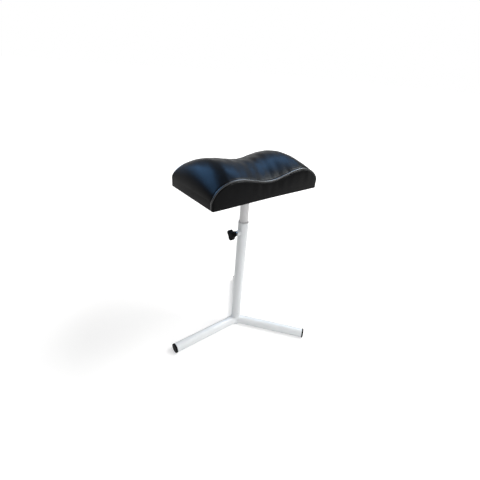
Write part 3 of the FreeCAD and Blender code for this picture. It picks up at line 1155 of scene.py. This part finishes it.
class LEGREST_OT_dust_cloth(bpy.types.Operator):
    """Stretches the dust cloth over the hem on the cushion's underside"""

    bl_idname = "leg_rest.dust_cloth"
    bl_label = "Dust cloth"

    def execute(self, context):
        s = context.scene.leg_rest.cushion
        cloth = shared("dust_cloth", bonded_cloth, colour=s.cloth_colour)
        dress(cloth, "dust_cover")
        points = dust_cloth_points(s)
        faces = grid_quads(*points.shape[:2])
        dust = add_piece("dust_cloth", points, faces, "column", cloth)
        wall = dust.modifiers.new("thickness", "SOLIDIFY")
        wall.thickness = CLOTH_THICKNESS
        wall.offset = 0.0
        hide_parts("dust_cover")
        return {"FINISHED"}


# Stage

WHITE = (1.0, 1.0, 1.0, 1.0)
STAND_MIDDLE = (0.0, 0.0, 0.35)
CUSHION_MIDDLE = (0.0, 0.0, 0.57)
FLOOR_REACH = 40.0
CLIP_START = 0.05


def area_light(name, place, aim, size, power, colour):
    """A flat lamp of a width and a height at a place, turned so that it faces a point."""
    lamp = bpy.data.lights.new(name, "AREA")
    lamp.shape = "RECTANGLE"
    lamp.size, lamp.size_y = size
    lamp.energy = power
    lamp.color = colour
    holder = add_object(name, lamp)
    holder.location = place
    holder.rotation_euler = (Vector(place) - Vector(aim)).to_track_quat("Z", "Y").to_euler()
    return holder


def window(name, place, size, power, colour):
    """A lamp that shows in gloss only and doesn't light the part; its power is for each square metre."""
    width, height = size
    holder = area_light(name, place, CUSHION_MIDDLE, size, power * width * height, colour)
    holder.visible_diffuse = False


def seen_white(tree, mirrored=None):
    """One for rays that show the background: from the camera, off gloss and through glass.

    mirrored is the share of it that gloss and glass show.
    """
    path = add_node(tree, "ShaderNodeLightPath", {}).outputs
    through = joined(tree, "MAXIMUM", path["Is Glossy Ray"], path["Is Transmission Ray"])
    if mirrored is not None:
        through = joined(tree, "MULTIPLY", through, mirrored)
    return joined(tree, "MAXIMUM", path["Is Camera Ray"], through)


def white_surroundings(ambient):
    """A world that the camera sees white and that lights evenly at the ambient level.

    Gloss shows it white below and close over the horizon, and at the ambient level higher up.
    """
    world = bpy.data.worlds.new("surroundings")
    world.use_nodes = True
    tree = world.node_tree
    white_up_to, plain_from = math.radians(8), math.radians(16)
    direction = add_node(tree, "ShaderNodeTexCoord", {}).outputs["Generated"]
    height = add_node(tree, "ShaderNodeSeparateXYZ", {"Vector": direction}).outputs["Z"]
    mirrored = remapped(tree, height, math.sin(plain_from), math.sin(white_up_to), 0.0, 1.0)
    strength = remapped(tree, seen_white(tree, mirrored), 0.0, 1.0, ambient, 1.0)
    set_sockets(tree, tree.nodes["Background"], {"Color": WHITE, "Strength": strength})
    bpy.context.scene.world = world


def pale_floor(colour, lift):
    """The floor's finish: a dull pale colour that takes shadows, and white added where it shows.

    The white that is added grows from the lift close to the post to all white further off.
    """
    finish = Finish("pale_floor", colour, roughness=0.9)
    near, far = 0.5, 2.0
    apart = finish.add("ShaderNodeVectorMath", {0: finish.place}, operation="LENGTH").outputs["Value"]
    added = remapped(finish.tree, apart, near, far, lift, 1.0)
    strength = joined(finish.tree, "MULTIPLY", added, seen_white(finish.tree))
    finish.set({"Specular IOR Level": 0.0, "Emission Color": WHITE, "Emission Strength": strength})
    return finish.material


def camera_place(s):
    """The camera's matrix: led round the post, back and up, then turned by yaw, pitch and roll."""
    round_post = Matrix.Rotation(s.azimuth - math.pi / 2, 4, "Z")
    back_and_up = Matrix.Translation((0.0, -s.distance, s.height))
    yaw = Matrix.Rotation(-s.yaw, 4, "Z")
    pitch = Matrix.Rotation(math.pi / 2 - s.pitch, 4, "X")
    roll = Matrix.Rotation(s.roll, 4, "Z")
    return round_post @ back_and_up @ yaw @ pitch @ roll


class LEGREST_OT_stage(bpy.types.Operator):
    """Sets up the floor, the surroundings, the lights and the camera"""

    bl_idname = "leg_rest.stage"
    bl_label = "Stage"

    def execute(self, context):
        s = context.scene.leg_rest.stage
        corners = FLOOR_REACH * np.array([(-1, -1, 0), (1, -1, 0), (1, 1, 0), (-1, 1, 0)])
        mesh = bpy.data.meshes.new("floor")
        mesh.from_pydata(corners.tolist(), [], [(0, 1, 2, 3)])
        mesh.materials.append(pale_floor(s.floor_colour, s.floor_lift))
        floor = add_object("floor", mesh)
        white_surroundings(s.ambient)

        key = {"size": (0.95, 0.95), "power": s.key_power, "colour": (1.0, 0.99, 0.98)}
        fill = {"size": (1.4, 1.4), "power": s.fill_power, "colour": (1.0, 1.0, 1.0)}
        area_light("key_light", place=(1.15, -0.6, 2.0), aim=STAND_MIDDLE, **key)
        area_light("fill_light", place=(0.3, -1.9, 1.1), aim=STAND_MIDDLE, **fill)
        dimmer, brighter = 0.6, 1.9
        left = {"size": (1.4, 1.2), "power": s.sky_power, "colour": s.sky_colour}
        right = {"size": (0.9, 0.8), "power": s.sky_power * dimmer, "colour": s.sky_colour}
        edge = {"size": (0.6, 0.6), "power": s.sky_power * brighter, "colour": s.pane_colour}
        window("left_window", place=(-0.7, 1.4, 2.0), **left)
        window("right_window", place=(1.2, 0.8, 2.05), **right)
        window("edge_window", place=(1.4, -0.26, 1.97), **edge)

        lens = bpy.data.cameras.new("camera")
        lens.sensor_width = s.sensor
        lens.lens = s.sensor * s.focal_pixels / s.frame_pixels
        lens.clip_start = CLIP_START
        camera = add_object("camera", lens)
        camera.matrix_world = camera_place(s)
        context.scene.camera = camera
        context.scene.view_settings.view_transform = "Standard"
        return {"FINISHED"}


class LEGREST_PT_panel(bpy.types.Panel):
    """Lists the steps that build the leg rest's looks"""

    bl_idname = "LEGREST_PT_panel"
    bl_label = "Leg rest"
    bl_space_type = "VIEW_3D"
    bl_region_type = "UI"
    bl_category = "Leg rest"

    def draw(self, context):
        for step in steps:
            self.layout.operator(step.bl_idname)


steps = (
    LEGREST_OT_stand_tubes,
    LEGREST_OT_tube_plugs,
    LEGREST_OT_guide_rings,
    LEGREST_OT_weld_beads,
    LEGREST_OT_column,
    LEGREST_OT_fasteners,
    LEGREST_OT_clamp,
    LEGREST_OT_cushion_core,
    LEGREST_OT_cushion,
    LEGREST_OT_piping,
    LEGREST_OT_dust_cloth,
    LEGREST_OT_stage,
)
classes = (CushionSettings, StandSettings, StageSettings, LegRestSettings, *steps, LEGREST_PT_panel)


def register():
    """Makes the settings, the operators and the panel known."""
    for known in classes:
        bpy.utils.register_class(known)
    bpy.types.Scene.leg_rest = PointerProperty(type=LegRestSettings)


def unregister():
    """Takes them away again."""
    del bpy.types.Scene.leg_rest
    for known in reversed(classes):
        bpy.utils.unregister_class(known)


def main():
    """Runs every step in order."""
    register()
    bpy.ops.leg_rest.stand_tubes()
    bpy.ops.leg_rest.tube_plugs()
    bpy.ops.leg_rest.guide_rings()
    bpy.ops.leg_rest.weld_beads()
    bpy.ops.leg_rest.column()
    bpy.ops.leg_rest.fasteners()
    bpy.ops.leg_rest.clamp()
    bpy.ops.leg_rest.cushion_core()
    bpy.ops.leg_rest.cushion()
    bpy.ops.leg_rest.piping()
    bpy.ops.leg_rest.dust_cloth()
    bpy.ops.leg_rest.stage()


if __name__ == "__main__":
    main()
